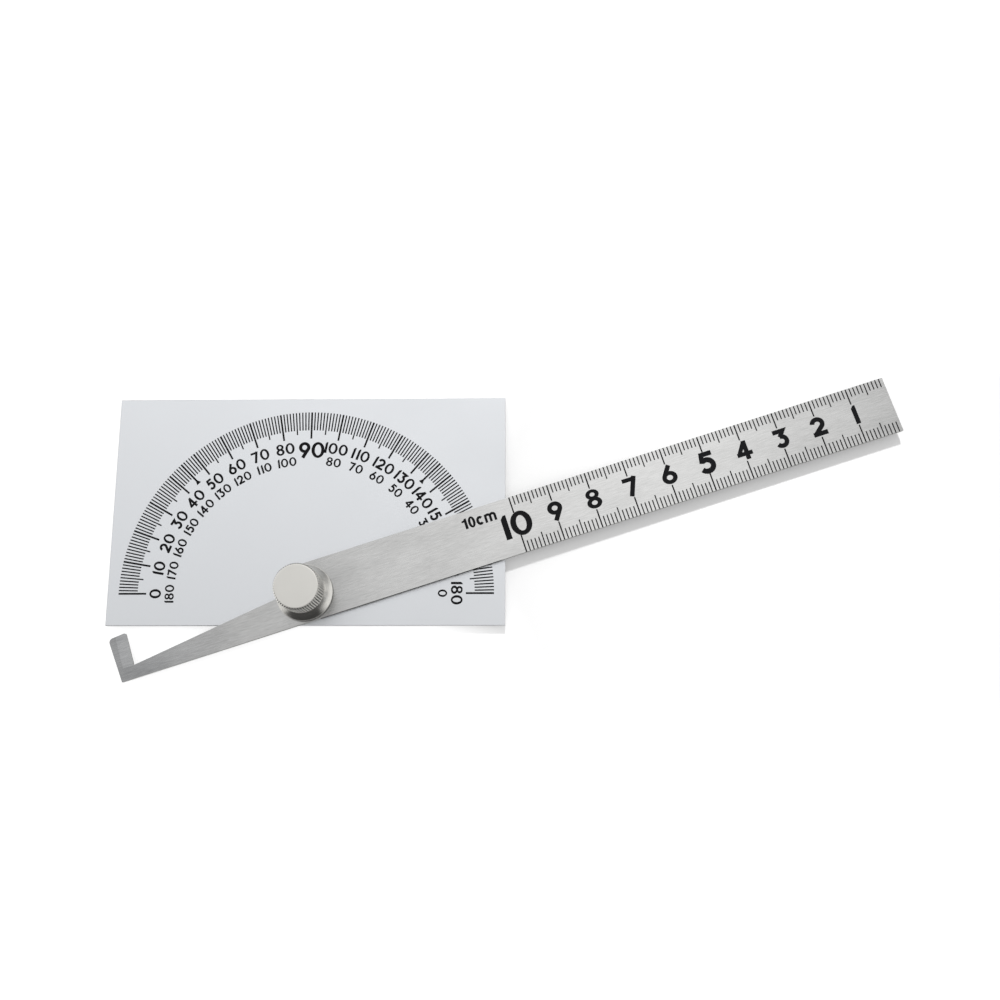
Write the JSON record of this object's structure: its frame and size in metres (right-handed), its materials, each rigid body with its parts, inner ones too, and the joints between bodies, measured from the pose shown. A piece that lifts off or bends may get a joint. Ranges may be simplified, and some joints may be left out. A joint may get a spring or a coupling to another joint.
{
  "type": "protractor",
  "caption": "Metal protractor: a rectangular half-circle degree plate with a swinging rule arm, hooked at its tail, clamped at the pivot by a knurled knob.",
  "frame": {"origin": "centre of the stud head's rear face, on the pivot axis", "axes": "+Z along the pivot from the rear to the knob, +X along the plate's base edge towards the 180 degree line, +Y towards the 90 degree line"},
  "size_m": [0.2001, 0.0769, 0.0147],
  "materials": {
    "plate_steel": "satin chrome plated stainless steel with black etched lines",
    "arm_steel": "brushed lengthwise, with black etched lines",
    "stud_steel": "turned, fine",
    "washer_nickel": "nickel plated, satin",
    "knob_nickel": "nickel plated brass, turned and straight knurled",
    "marking_black": "black filled numbers, flush with the metal"
  },
  "bodies": {
    "head": {"dial_plate": "plate_steel", "pivot_stud": "stud_steel"},
    "arm": {"rule_arm": "arm_steel"},
    "washer": {"clamp_washer": "washer_nickel"},
    "knob": {"clamp_knob": "knob_nickel"}
  },
  "joints": [
    {"name": "arm_swing", "type": "hinge", "parent": "head", "child": "arm", "pos_m": [0, 0, 0.0022], "axis": [0, 0, 1], "continuous": true},
    {"name": "washer_lift", "type": "slide", "parent": "head", "child": "washer", "axis": [0, 0, 1], "range_m": [0, 0.0016]},
    {"name": "knob_turn", "type": "hinge", "parent": "washer", "child": "knob", "pos_m": [0, 0, 0.0037], "axis": [0, 0, 1], "range_deg": [0, 720]}
  ],
  "couplings": [
    {"joint": "washer_lift", "follows": "knob_turn", "m_per_rad": 0.00012732}
  ]
}
